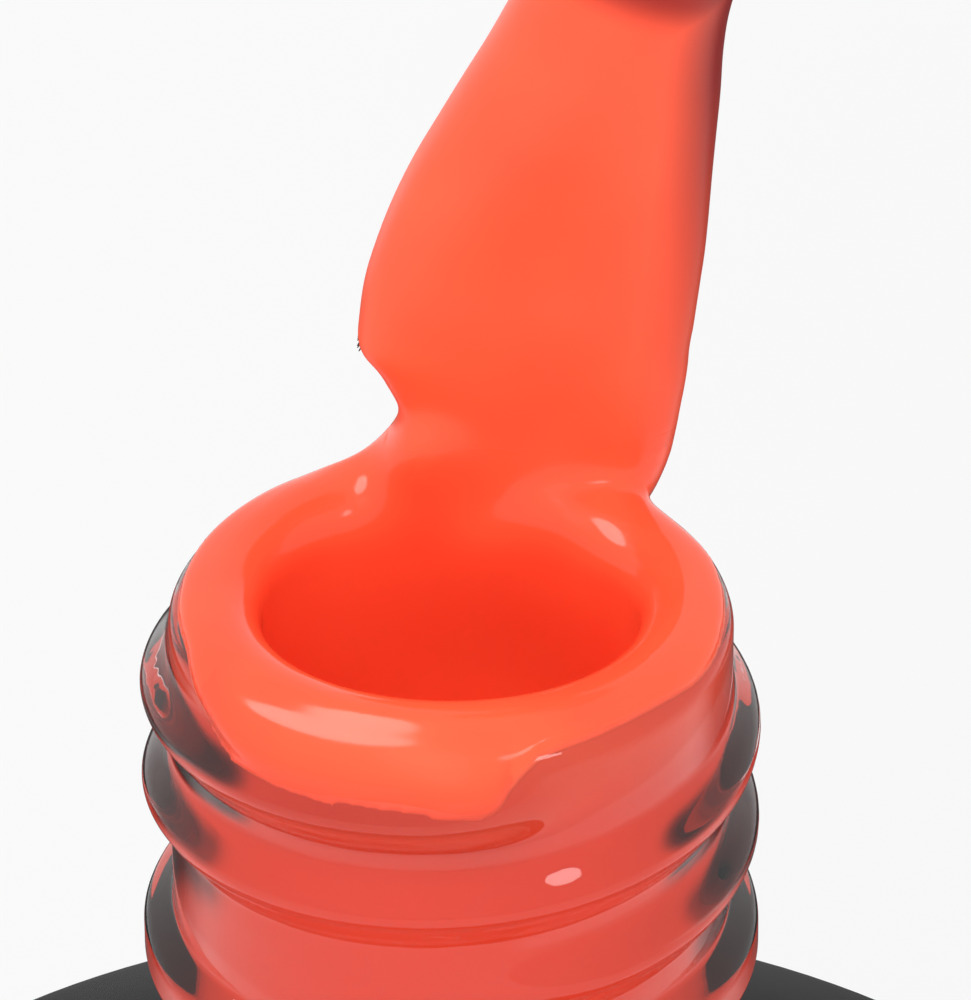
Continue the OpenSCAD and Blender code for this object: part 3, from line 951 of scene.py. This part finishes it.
def mark_under(mesh, co, g, places, rounds, edge=None):
    """Marks painted shade on the side of the film that lies on the glass, darker further
    down the neck and near the run's lower edge, and marks the painted dark streaks and shade
    at the neck's foot.

    co holds the vertices in millimetres with heights from the lip."""
    out = np.hypot(co[:, 0], co[:, 1])
    faces_out = (normals_of(mesh)[:, :2] * co[:, :2]).sum(axis=1) > 0.2 * out
    foot = g.body_h - LIP_Z
    below = co[:, 2] < foot + 1
    on_glass = faces_out & ((out < g.neck_d / 2 - 0.8) | below)
    # Painted shade: darker further down the neck behind the glass
    under = np.clip((-0.5 - co[:, 2]) / 2.2, 0, 1) * on_glass
    if edge is not None:
        front = from_front(np.degrees(np.arctan2(co[:, 1], co[:, 0])))
        low = np.interp(front, *np.array(edge).T)
        # Painted shade: darker outside the neck just above the run's lower edge
        fade = np.clip(1 - (co[:, 2] - low) / 1.1, 0, 1) * (out > g.neck_d / 2 - 0.5)
        under = np.maximum(under, 0.6 * fade * (low < -0.8))
    mark(mesh, "under", under)
    # Painted shade: the coat darkens towards the neck's foot, where the black body meets the
    # neck
    painted_dark = np.clip((foot + 0.9 - co[:, 2]) / 1.2, 0, FOOT_DARK) * on_glass
    red, dark = places
    # Painted shade: dark streaks where the bore shows at the sides of the neck, standing in
    # for the glass's dark refractions
    for i in np.flatnonzero(on_glass & (painted_dark < DARK_ENOUGH)):
        at = co[i] + (0, 0, LIP_Z)
        if dark.find(at)[2] < NEAR:
            count = len(dark.find_range(at, NEAR))
            share = count / (count + RED_WEIGHT * len(red.find_range(at, NEAR)))
            painted_dark[i] = max(painted_dark[i], rise(share, 0.25, 0.5))
    mark(mesh, "painted_dark", evened(mesh, painted_dark, 0.5, rounds))


def keep_shading(obj):
    """Shades the faces by the normals from before the parting, the ends by their own."""
    mesh = obj.data
    normals = values_of(mesh.attributes["whole"].data, "vector", 3)
    normals = normals[values_of(mesh.loops, "vertex_index", kind=np.int64)]
    is_end = values_of(mesh.attributes["end"].data, "value", kind=np.int64)
    corners = values_of(mesh.polygons, "loop_total", kind=np.int64)
    normals[np.repeat(is_end, corners) > 0] = 0
    mesh.normals_split_custom_set(normals.tolist())
    for name in ("whole", "end"):
        mesh.attributes.remove(mesh.attributes[name])


def poured_skin(g, p, edge):
    """The polish on lip and brush as one mesh, drawn together where they meet."""
    mesh = merged(joined(make_film_shell(g, p, edge), make_load(p)), p.voxel)
    flow(mesh, np.full(len(mesh.vertices), 0.5), 3)
    co = coordinates(mesh)
    for at, towards in FILLED:
        co += near_line(co, at, at + np.array((1e-3, 0, 0)), FILLED_REACH)[:, None] * towards
    mesh.vertices.foreach_set("co", co.ravel())
    flow(mesh, 0.6 * near_line(co, *MEETING, MEETING_REACH), MEETING_ROUNDS)
    flow(mesh, np.full(len(mesh.vertices), 0.4), 2)
    return mesh


def mark_brush(mesh):
    """Marks where the brush's polish is thin over the bristles, and where it is matt."""
    co = coordinates(mesh)
    rows = np.linspace(BRUSH_OUTLINE[0][0], BRUSH_OUTLINE[-1][0], 80)
    right = np.interp(co[:, 2], rows, [brush_edges(z)[1] for z in rows])
    side = np.clip(1.2 - (right - co[:, 0]) / 1.05, 0, 1)
    up = np.clip((co[:, 2] - 1.5) / 8.5, 0, 1)
    along = (co + (0, 0, LIP_Z) - np.array(MOUTH)) @ np.array(WAND_AXIS)
    thin = np.clip(side * (0.15 + 0.85 * up), 0, 1) * (co[:, 2] > 1.2)
    mark(mesh, "thin", np.maximum(thin, 0.9 * smooth_all(along + 1.0)))
    mark(mesh, "matt", np.clip((co[:, 2] - 0.7) / 1.2, 0, 1))


def make_polish():
    """The polish on lip and brush, parted where the brush lifts off, and in the neck."""
    g, p = sizes("glass"), sizes("polish")
    glass = bpy.data.objects["glass_body"]
    edge = run_edge_table(glass)
    skin = poured_skin(g, p, edge)
    whole = skin.attributes.new("whole", "FLOAT_VECTOR", "POINT")
    whole.data.foreach_set("vector", normals_of(skin).ravel())
    mark_brush(skin)
    places = painted_dark_places(glass, g)
    mark_under(skin, coordinates(skin), g, places, LIP_ROUNDS, edge)
    lower, upper = (parted(skin, p.parting, above) for above in (False, True))
    pool = finish_piece("lip_polish", lower, ON_LIP, polish(), crease=None)
    load = finish_piece("brush_polish", upper, ON_LIP, polish(), crease=None)
    keep_shading(pool)
    keep_shading(load)
    seats(pool, "bottle", "polish", "lip_film", "wiped_pool")

    fill_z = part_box("polish_fill")[1].z / MM - 0.2
    coat = spun(close_set(hollow_line(g, -HIDDEN, fill_z), 0.3)
                + close_set(hollow_line(g, p.film_t, fill_z)[::-1], 1.0), 180)
    tidy(coat)
    neck = finish_piece("neck_polish", coat, Matrix(), polish())
    mark_under(neck.data, coordinates(neck.data) / MM - (0, 0, LIP_Z), g, places,
               COAT_ROUNDS)
    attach(neck, "bottle")
    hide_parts("polish_load")
    bends(load)
    repaint("polish_fill", polish())


def bends(obj):
    """Bakes the object's place into its mesh."""
    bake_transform(obj)


# ---- the brush ----


def make_bristles():
    """Fanned bristles, whose slanted tips show only at the brush's left corner."""
    b, p = sizes("brush"), sizes("polish")
    rng = random.Random(7)
    load = bpy.data.objects["brush_polish"]
    corner = on_surface(tree_of(load), POINTS["brush_corner"]) / MM
    mouth_z = MOUTH.z - LIP_Z
    parts = []
    for k in range(b.bristles):
        u, v = 1.0, 1.0
        while u * u + v * v > 1:
            u, v = rng.uniform(-1, 1), rng.uniform(-1, 1)
        proud = k % PROUD_EVERY == 0
        if proud:
            u, v = -1.0, rng.uniform(-0.5, 0.1)
        tip = 1.5 + 1.9 * smooth(-u * 1.2) + 1.2 * smooth(u * 1.4 - 0.4)
        tip += rng.uniform(-0.1, 0.25)
        if proud:
            tip = corner.z - LIP_Z + rng.uniform(-0.4, 0.3)
        top = mouth_z + rng.uniform(1.2, 1.5)

        def spot(z):
            out = rise(z, mouth_z, mouth_z - 6)
            left, right = brush_edges(min(z, mouth_z))
            socket = MOUTH.x + (z - mouth_z) * math.tan(WAND_LEAN) + ROOT_HALF * u
            wide = 0.9 + (0.1 * rise(z, 4.2, 3.4) if proud else 0)
            x = socket + ((left + right) / 2 + u * wide * (right - left) / 2
                          - socket) * out
            deep = ROOT_HALF + (FAN_HALF - ROOT_HALF) * out
            return Vector((x, p.brush_y + v * deep, z))

        def place(row, x, y):
            z = tip + (top - tip) * row / (BRISTLE_ROWS - 1)
            r = b.bristle_d / 2 * (0.35 if row == 0 else 0.8 if row == 1 else 1)
            return spot(z) + Vector((x * r, y * r, 0))

        parts.append(swept(BRISTLE_ROWS, 5, place))
    obj = finish_piece("bristles", joined(*parts), ON_LIP, finish("bristle_nylon"))
    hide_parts("bristle_tuft")
    bends(obj)
    repaint("bristle_root", finish("bristle_nylon"))
    repaint("bristle_staple", finish("staple_wire"))


def make_stem():
    """The stem with its bristles' hole and the flange that sits on the inner cap."""
    b, c = sizes("brush"), sizes("cap")
    flange_z = c.reach + c.liner_t + c.inner_top_t
    socket, mouth, stem = b.socket_d / 2, b.mouth_d / 2, b.stem_d / 2
    outline = rounded([
        (0, b.socket_h, 0), (socket, b.socket_h, 0), (socket, 0, 0.1), (mouth, 0, 0.25),
        (stem, flange_z, 0), (c.flange_d / 2, flange_z, 0),
        (c.flange_d / 2, flange_z + c.flange_t, 0.3), (0, flange_z + c.flange_t, 0)], 15)
    spun_piece("stem", close_set(outline, 1.2), 96, ON_WAND,
               "wand", "stem_plastic", "brush_stem", closed=False)


# ---- the cap ----


def make_caps():
    """The outer cap, the inner cap with its ribs and thread, and the liner."""
    b, c, g = sizes("brush"), sizes("cap"), sizes("glass")
    inner_r = c.bore_r + c.inner_wall
    hold_r = inner_r + c.rib_h + FIT_GAP
    top_wall = c.reach + c.liner_t
    flange_z = top_wall + c.inner_top_t
    top = c.skirt_z + c.cap_h
    outline = rounded([
        (0, top - c.top_t, 0), (c.flange_d / 2 + 1, top - c.top_t, c.edge),
        (c.flange_d / 2 + 1, flange_z, 0), (hold_r, flange_z, 0),
        (hold_r, c.skirt_z, 0.15), (hold_r + c.wall, c.skirt_z, 0.3),
        (c.top_d / 2, top, c.edge), (0, top, 0)], 9)
    spun_piece("outer_cap", close_set(outline, 1.5), 160, ON_WAND,
               "wand", "cap_plastic", "overcap", closed=False)

    def ribs_and_thread(at, r, turn):
        if r > inner_r - 0.01:
            ends = rise(at.z, c.skirt_z + 0.4, c.skirt_z + 0.8)
            ends *= rise(at.z, flange_z - 0.4, flange_z - 0.8)
            wide = 360 / c.ribs
            from_rib = abs((turn + wide / 2) % wide - wide / 2) * math.radians(1) * r
            side = c.rib_w / 2
            return c.rib_h * ends * rise(from_rib, side + 0.15, side - 0.15)
        below = at.z - c.reach - g.pitch / 2
        if abs(r - c.bore_r) < 0.02 and below < 0:
            return -CAP_THREAD * thread_out(g, turn + 180, below)
        return 0

    hole = b.stem_d / 2 + FIT_GAP
    outline = rounded([
        (hole, top_wall, 0), (c.bore_r, top_wall, 0.3), (c.bore_r, c.skirt_z, 0.2),
        (inner_r, c.skirt_z, 0.2), (inner_r, flange_z, 0.2), (hole, flange_z, 0)], 15)
    spun_piece("inner_cap_threaded", close_set(outline, 0.25), 240, ON_WAND,
               "wand", "inner_plastic", "inner_cap", push=ribs_and_thread)

    liner_r, hole = c.bore_r - FIT_GAP, hole + 0.15
    outline = rounded([(hole, c.reach, 0), (liner_r, c.reach, 0.15),
                       (liner_r, top_wall, 0.1), (hole, top_wall, 0)])
    spun_piece("liner", outline, 128, ON_WAND, "wand", "liner_foam", "seal_liner")


# ---- finishes ----


def node(tree, kind, inputs=None, **settings):
    """Adds a node, sets it up and links or fills its inputs."""
    made = tree.nodes.new(kind)
    for key, value in settings.items():
        setattr(made, key, value)
    for key, value in (inputs or {}).items():
        if isinstance(value, bpy.types.NodeSocket):
            tree.links.new(value, made.inputs[key])
        else:
            made.inputs[key].default_value = value
    return made


def effect(name, inputs, output):
    """A new node group with (name, socket type, default) inputs and one output."""
    tree = bpy.data.node_groups.new(name, "ShaderNodeTree")
    for label, kind, default in inputs:
        socket = tree.interface.new_socket(label, in_out="INPUT", socket_type=kind)
        socket.default_value = default
    tree.interface.new_socket(output[0], in_out="OUTPUT", socket_type=output[1])
    start = tree.nodes.new("NodeGroupInput").outputs
    return tree, start, tree.nodes.new("NodeGroupOutput")


def noise_of(tree, scale, detail=2.0):
    """Noise on Object coordinates, between 0 and 1."""
    where = node(tree, "ShaderNodeTexCoord").outputs["Object"]
    return node(tree, "ShaderNodeTexNoise", {"Vector": where, "Scale": scale,
                                             "Detail": detail}).outputs["Fac"]


def make_effects():
    """The effects that several finishes share."""
    value, shade = "NodeSocketFloat", "NodeSocketColor"
    tree, start, end = effect("Handling", [("Scale", value, 300.0), ("Least", value, 0.1),
                                           ("Most", value, 0.2)], ("Roughness", value))
    spread = node(tree, "ShaderNodeMapRange",
                  {"Value": noise_of(tree, start["Scale"], 4.0), "From Min": 0.35,
                   "From Max": 0.65, "To Min": start["Least"], "To Max": start["Most"]})
    tree.links.new(spread.outputs["Result"], end.inputs[0])
    tree, start, end = effect("Uneven colour", [
        ("Colour", shade, (1, 1, 1, 1)), ("Second", shade, (1, 1, 1, 1)),
        ("Scale", value, 200.0)], ("Colour", shade))
    share = node(tree, "ShaderNodeMapRange", {"Value": noise_of(tree, start["Scale"]),
                                              "From Min": 0.3, "From Max": 0.7})
    tint = mixed(tree, share.outputs["Result"], start["Colour"], start["Second"])
    tree.links.new(tint, end.inputs[0])
    tree, start, end = effect("Ripple", [("Scale", value, 300.0), ("Depth", value, 0.001)],
                              ("Normal", "NodeSocketVector"))
    bump = node(tree, "ShaderNodeBump", {"Height": noise_of(tree, start["Scale"]),
                                         "Distance": start["Depth"]})
    tree.links.new(bump.outputs["Normal"], end.inputs[0])


def use(tree, name, **inputs):
    """Places a shared effect and gives its output."""
    return node(tree, "ShaderNodeGroup", inputs,
                node_tree=bpy.data.node_groups[name]).outputs[0]


def mixed(tree, share, first, second):
    """The colour between two, by a share."""
    return node(tree, "ShaderNodeMix", {"Factor": share, 6: first, 7: second},
                data_type="RGBA").outputs[2]


def either(tree, first, second):
    """The larger of two values."""
    return node(tree, "ShaderNodeMath", {0: first, 1: second},
                operation="MAXIMUM").outputs[0]


def finish_of(name, fill):
    """The material of that name, which fill(tree) makes the first time."""
    found = bpy.data.materials.get(name)
    if found is not None:
        return found
    made = bpy.data.materials.new(name)
    made.use_nodes = True
    made.node_tree.nodes.clear()
    tree = made.node_tree
    shader = fill(tree)
    node(tree, "ShaderNodeOutputMaterial", {"Surface": shader.outputs[0]})
    return made


def linear(name):
    """A colour of the property group, with its alpha."""
    return (*getattr(bpy.context.scene.bottle_colours, name), 1.0)


def clear_glass():
    """Clear glass, through which shadow rays and light from matt surfaces pass straight."""
    def fill(tree):
        glass = node(tree, "ShaderNodeBsdfPrincipled", {
            "Base Color": linear("glass"), "Roughness": 0.0, "IOR": GLASS_IOR,
            "Transmission Weight": 1.0,
            "Normal": use(tree, "Ripple", Scale=700.0, Depth=0.00001)})
        through = node(tree, "ShaderNodeBsdfTransparent", {"Color": (0.93, 0.93, 0.93, 1)})
        rays = node(tree, "ShaderNodeLightPath")
        lit = node(tree, "ShaderNodeMixShader", {
            0: rays.outputs["Is Diffuse Ray"], 1: glass.outputs[0], 2: through.outputs[0]})
        return node(tree, "ShaderNodeMixShader", {
            0: rays.outputs["Is Shadow Ray"], 1: lit.outputs[0], 2: through.outputs[0]})
    return finish_of("Clear glass", fill)


def polish():
    """Wet polish, with painted shade where it lies behind the glass or near the run's edge,
    painted dark streaks, and darker where it is thin over the brush.
    """
    def fill(tree):
        def marked(name):
            return node(tree, "ShaderNodeAttribute", attribute_name=name).outputs["Fac"]

        base = linear("polish")
        redder = (base[0], base[1] * 0.82, base[2] * 0.85, 1)
        tint = use(tree, "Uneven colour", Colour=base, Second=redder, Scale=260.0)
        # Painted shade and painted dark streaks are mixed into the polish's colour here
        for name, shade in (("under", "polish_under"), ("painted_dark", "polish_bare"),
                            ("thin", "polish_deep")):
            tint = mixed(tree, marked(name), tint, linear(shade))
        rough = node(tree, "ShaderNodeMath", {
            0: marked("matt"), 1: 0.22,
            2: use(tree, "Handling", Scale=350.0, Least=0.1, Most=0.14)},
            operation="MULTIPLY_ADD")
        return node(tree, "ShaderNodeBsdfPrincipled", {
            "Base Color": tint, "IOR": 1.48, "Specular IOR Level": 0.3,
            "Roughness": rough.outputs[0],
            "Normal": use(tree, "Ripple", Scale=500.0, Depth=0.00001)})
    return finish_of("Wet polish", fill)


def plain(name, tint, least, most, scale, bump_scale, bump_depth, extra):
    """A moulded or coated finish with traces of handling and a fine skin."""
    def fill(tree):
        base = linear(tint)
        lighter = tuple(min(1, k * 1.12 + 0.002) for k in base[:3]) + (1,)
        values = {
            "Base Color": use(tree, "Uneven colour", Colour=base, Second=lighter,
                              Scale=scale / 2),
            "Roughness": use(tree, "Handling", Scale=scale, Least=least, Most=most),
            "Normal": use(tree, "Ripple", Scale=bump_scale, Depth=bump_depth)}
        values.update(extra)
        return node(tree, "ShaderNodeBsdfPrincipled", values)
    return finish_of(name, fill)


def finish(slot):
    """The finish of a material slot."""
    return clear_glass() if slot == "clear_glass" else plain(*PLAIN_FINISHES[slot])


# ---- the studio ----


def lamp(name, towards, far, size, watts, along):
    """A softbox in a direction from the lip, facing it, with its width along a line."""
    data = bpy.data.lights.new(name, "AREA")
    data.shape = "ELLIPSE"
    data.size, data.size_y = size
    data.energy = watts
    obj = bpy.data.objects.new(name, data)
    bpy.context.scene.collection.objects.link(obj)
    direction = Vector(towards).normalized()
    across = direction.cross(Vector(along)).normalized()
    axes = Matrix((across.cross(direction), across, direction)).transposed()
    obj.matrix_world = Matrix.Translation(
        Vector((0, 0, LIP_Z * MM)) + direction * far) @ axes.to_4x4()
    obj.visible_camera = False
    return obj


def card(name, size, behind, fill):
    """A card on the floor, which neither the camera nor the matt surfaces see."""
    bm = bmesh.new()
    bmesh.ops.create_circle(bm, cap_ends=True, segments=64, radius=1,
                            matrix=Matrix.Translation((0, behind, 0.0002))
                            @ Matrix.Diagonal((*size, 1, 1)))
    obj = as_object(name, bm)
    obj.visible_camera = obj.visible_diffuse = obj.visible_shadow = False
    obj.data.materials.append(finish_of(name.replace("_", " ").capitalize(), fill))
    return obj


def make_stage():
    """Pale floor, white surroundings, the lamps, two cards and the camera."""
    scene = bpy.context.scene
    scene.view_settings.view_transform = "Standard"
    scene.cycles.max_bounces = 24
    scene.cycles.diffuse_bounces = 24
    studio = sizes("studio")

    world = bpy.data.worlds.new("Studio")
    scene.world = world
    world.use_nodes = True
    tree = world.node_tree
    tree.nodes.clear()
    rays = node(tree, "ShaderNodeLightPath").outputs
    seen = either(tree, rays["Is Camera Ray"], rays["Is Transmission Ray"])
    shown = either(tree, seen, rays["Is Glossy Ray"])
    level = node(tree, "ShaderNodeMapRange", {"Value": shown, "To Min": studio.fill,
                                              "To Max": WORLD_WHITE})
    back = node(tree, "ShaderNodeBackground", {"Color": (1, 1, 1, 1),
                                               "Strength": level.outputs["Result"]})
    node(tree, "ShaderNodeOutputWorld", {"Surface": back.outputs[0]})

    bm = bmesh.new()
    bmesh.ops.create_grid(bm, x_segments=8, y_segments=8, size=FLOOR_SIZE)
    floor = as_object("floor", bm)

    def pale(tree):
        matt = node(tree, "ShaderNodeBsdfDiffuse", {
            "Color": use(tree, "Uneven colour", Colour=(0.86, 0.86, 0.86, 1),
                         Second=(0.84, 0.84, 0.84, 1), Scale=4.0)})
        lit = node(tree, "ShaderNodeEmission", {"Color": (1, 1, 1, 1),
                                                "Strength": FLOOR_WHITE})
        rays = node(tree, "ShaderNodeLightPath").outputs
        seen = either(tree, rays["Is Camera Ray"], rays["Is Transmission Ray"])
        share = node(tree, "ShaderNodeMath", {0: seen, 1: FLOOR_SHOWN},
                     operation="MULTIPLY")
        return node(tree, "ShaderNodeMixShader", {0: share.outputs[0], 1: matt.outputs[0],
                                                  2: lit.outputs[0]})
    floor.data.materials.append(finish_of("Pale floor", pale))

    for row in LAMPS:
        light = lamp(*row)
        light.visible_glossy = row[0] != "front_light"
        light.visible_diffuse = row[0] == "front_light"

    def cloth(tree):
        return node(tree, "ShaderNodeBsdfDiffuse", {
            "Color": use(tree, "Uneven colour", Colour=(0.16, 0.018, 0.014, 1),
                         Second=(0.02, 0.004, 0.004, 1), Scale=55.0)})
    card("card_in_glass", *CARD_IN_GLASS, cloth).visible_glossy = False

    def soft_grey(tree):
        (half_x, half_y), behind = CARD_IN_LACQUER
        place = node(tree, "ShaderNodeTexCoord").outputs["Object"]
        centred = node(tree, "ShaderNodeMapping", {
            "Vector": place, "Location": (0, -behind / half_y, 0),
            "Scale": (1 / half_x, 1 / half_y, 1)})
        ball = node(tree, "ShaderNodeTexGradient", {"Vector": centred.outputs[0]},
                    gradient_type="SPHERICAL")
        share = node(tree, "ShaderNodeMapRange", {"Value": ball.outputs["Fac"],
                                                  "From Max": 0.5, "To Max": 0.95},
                     interpolation_type="SMOOTHSTEP")
        matt = node(tree, "ShaderNodeBsdfDiffuse", {
            "Color": use(tree, "Uneven colour", Colour=(0.05, 0.05, 0.05, 1),
                         Second=(0.04, 0.04, 0.04, 1), Scale=20.0)})
        clear = node(tree, "ShaderNodeBsdfTransparent", {"Color": (1, 1, 1, 1)})
        return node(tree, "ShaderNodeMixShader", {0: share.outputs[0], 1: clear.outputs[0],
                                                  2: matt.outputs[0]})
    card("card_in_lacquer", *CARD_IN_LACQUER, soft_grey).visible_transmission = False

    data = bpy.data.cameras.new("camera")
    data.sensor_fit = "AUTO"
    data.sensor_width = studio.sensor
    data.lens = studio.lens
    data.clip_start, data.clip_end = 0.005, 10
    camera = bpy.data.objects.new("camera", data)
    scene.collection.objects.link(camera)
    camera.matrix_world = camera_place(studio)
    scene.camera = camera



def write_points():
    """How far each thing shows from its point in the photograph."""
    def shown(*names):
        return np.concatenate([
            in_photo(coordinates(bpy.data.objects[n].data)) for n in names])

    glass, wet = shown("glass_body"), shown("lip_polish", "brush_polish")
    both = np.concatenate([glass, wet])

    def side(points, y, edge, reach=6):
        band = points[np.abs(points[:, 1] - y) < reach]
        return (edge(band[:, 0]) if len(band) else float("nan")), y

    found = {
        "left_of_thread": side(glass, 700, min),
        "right_of_thread": side(glass, 820, max),
        "collar_left": side(glass, 932, min),
        "collar_right": side(glass, 944, max),
        "brush_right_edge": side(shown("brush_polish"), 200, max),
        "rim_behind_left": side(wet, 500, min),
        "brush_recess": side(wet, 402, min),
        "brush_corner": side(wet, 338, min),
    }
    pinch = min((side(both, y, max)[0], y) for y in range(470, 520, 2))
    found["brush_pinch"] = pinch
    tree = tree_of(bpy.data.objects["lip_polish"])
    eye = np.array(camera_place(sizes("studio")).translation)

    def brink(places):
        """The one of a row of image places behind which the surface falls away most."""
        far = [np.linalg.norm(np.array(on_surface(tree, p)) - eye) / MM for p in places]
        falls = [abs(b - a) for a, b in zip(far, far[1:])]
        return places[falls.index(max(falls))]

    found["opening_near_edge"] = brink([(445, y) for y in range(640, 760)])
    found["opening_left_edge"] = brink([(x, 600) for x in range(200, 330)])


# ---- operators ----


class BottleStage(bpy.types.Operator):
    """Make the floor, the surroundings, the lamps and the camera"""

    bl_idname = "bottle.stage"
    bl_label = "Stage"

    def execute(self, context):
        make_effects()
        make_stage()
        return {"FINISHED"}


class BottleGlass(bpy.types.Operator):
    """Make the glass body, its lacquer and its label"""

    bl_idname = "bottle.glass"
    bl_label = "Glass, lacquer and label"

    def execute(self, context):
        make_glass()
        make_lacquer()
        repaint("base_label", finish("label_paper"))
        return {"FINISHED"}


class BottlePolish(bpy.types.Operator):
    """Make the polish in the neck, on the lip and on the brush"""

    bl_idname = "bottle.polish"
    bl_label = "Polish"

    def execute(self, context):
        make_polish()
        return {"FINISHED"}


class BottleBrush(bpy.types.Operator):
    """Make the stem and the bristles"""

    bl_idname = "bottle.brush"
    bl_label = "Brush"

    def execute(self, context):
        make_stem()
        make_bristles()
        return {"FINISHED"}


class BottleCap(bpy.types.Operator):
    """Make the outer cap, the inner cap and its liner"""

    bl_idname = "bottle.cap"
    bl_label = "Cap"

    def execute(self, context):
        make_caps()
        return {"FINISHED"}


OPERATORS = (BottleStage, BottleGlass, BottlePolish, BottleBrush, BottleCap)


class BottlePanel(bpy.types.Panel):
    """Lists the bottle's makers and sizes"""

    bl_idname = "VIEW3D_PT_bottle"
    bl_label = "Nail polish bottle"
    bl_space_type = "VIEW_3D"
    bl_region_type = "UI"
    bl_category = "Bottle"

    def draw(self, context):
        for operator in OPERATORS:
            self.layout.operator(operator.bl_idname)
        for name, group in GROUPS.items():
            box = self.layout.box()
            box.label(text=group.__doc__)
            for prop in group.__annotations__:
                box.prop(getattr(context.scene, name), prop)


def register():
    """Adds the classes, and the property groups to the scene."""
    for cls in (*GROUPS.values(), *OPERATORS, BottlePanel):
        bpy.utils.register_class(cls)
    for name, group in GROUPS.items():
        setattr(bpy.types.Scene, name, bpy.props.PointerProperty(type=group))


def unregister():
    """Takes out what register() added."""
    for name in GROUPS:
        delattr(bpy.types.Scene, name)
    for cls in reversed((*GROUPS.values(), *OPERATORS, BottlePanel)):
        bpy.utils.unregister_class(cls)


def main():
    """Makes everything in order and works out where the image points show."""
    register()
    for operator in OPERATORS:
        getattr(bpy.ops.bottle, operator.bl_idname.split(".")[1])()
    write_points()


if __name__ == "__main__":
    main()
